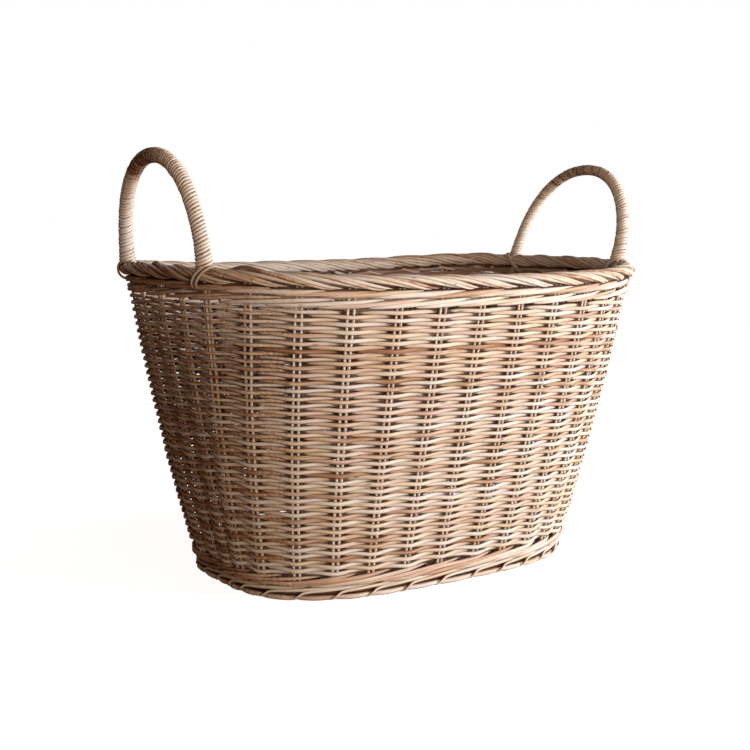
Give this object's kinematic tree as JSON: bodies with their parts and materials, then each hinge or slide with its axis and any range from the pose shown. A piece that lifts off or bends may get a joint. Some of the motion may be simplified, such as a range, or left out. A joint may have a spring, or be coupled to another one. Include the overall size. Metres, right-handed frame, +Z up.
{
  "type": "laundry basket",
  "caption": "Oval wicker laundry basket with flaring sides, a rolled border and a bound bow handle at each end.",
  "frame": {"origin": "on the floor, below the middle of the overall length and width", "axes": "+X along the basket towards the handle that leans out further, +Z up"},
  "size_m": [0.5766, 0.3938, 0.4373],
  "materials": {
    "cane": "satin",
    "stake_cane": "satin",
    "wale_cane": "satin",
    "binding_cane": "satin"
  },
  "bodies": {
    "root": {"back_stakes": "stake_cane", "base_round_1": "cane", "base_round_2": "cane", "base_round_3": "cane", "base_round_4": "cane", "base_round_5": "cane", "base_round_6": "cane", "base_sticks": "stake_cane", "foot_ring": "cane", "front_stakes": "stake_cane", "left_back_lashing": "binding_cane", "left_end_stakes": "stake_cane", "left_front_lashing": "binding_cane", "left_handle_binding": "binding_cane", "left_handle_core": "stake_cane", "right_back_lashing": "binding_cane", "right_end_stakes": "stake_cane", "right_front_lashing": "binding_cane", "right_handle_binding": "binding_cane", "right_handle_core": "stake_cane", "rolled_border": "cane", "side_weave_01": "cane", "side_weave_02": "cane", "side_weave_03": "cane", "side_weave_04": "cane", "side_weave_05": "cane", "side_weave_06": "cane", "side_weave_07": "cane", "side_weave_08": "cane", "side_weave_09": "cane", "side_weave_10": "cane", "side_weave_11": "cane", "side_weave_12": "cane", "side_weave_13": "cane", "side_weave_14": "cane", "side_weave_15": "cane", "side_weave_16": "cane", "side_weave_17": "cane", "side_weave_18": "cane", "top_wale_1": "wale_cane", "top_wale_2": "wale_cane", "upset_wale": "wale_cane"}
  },
  "joints": []
}
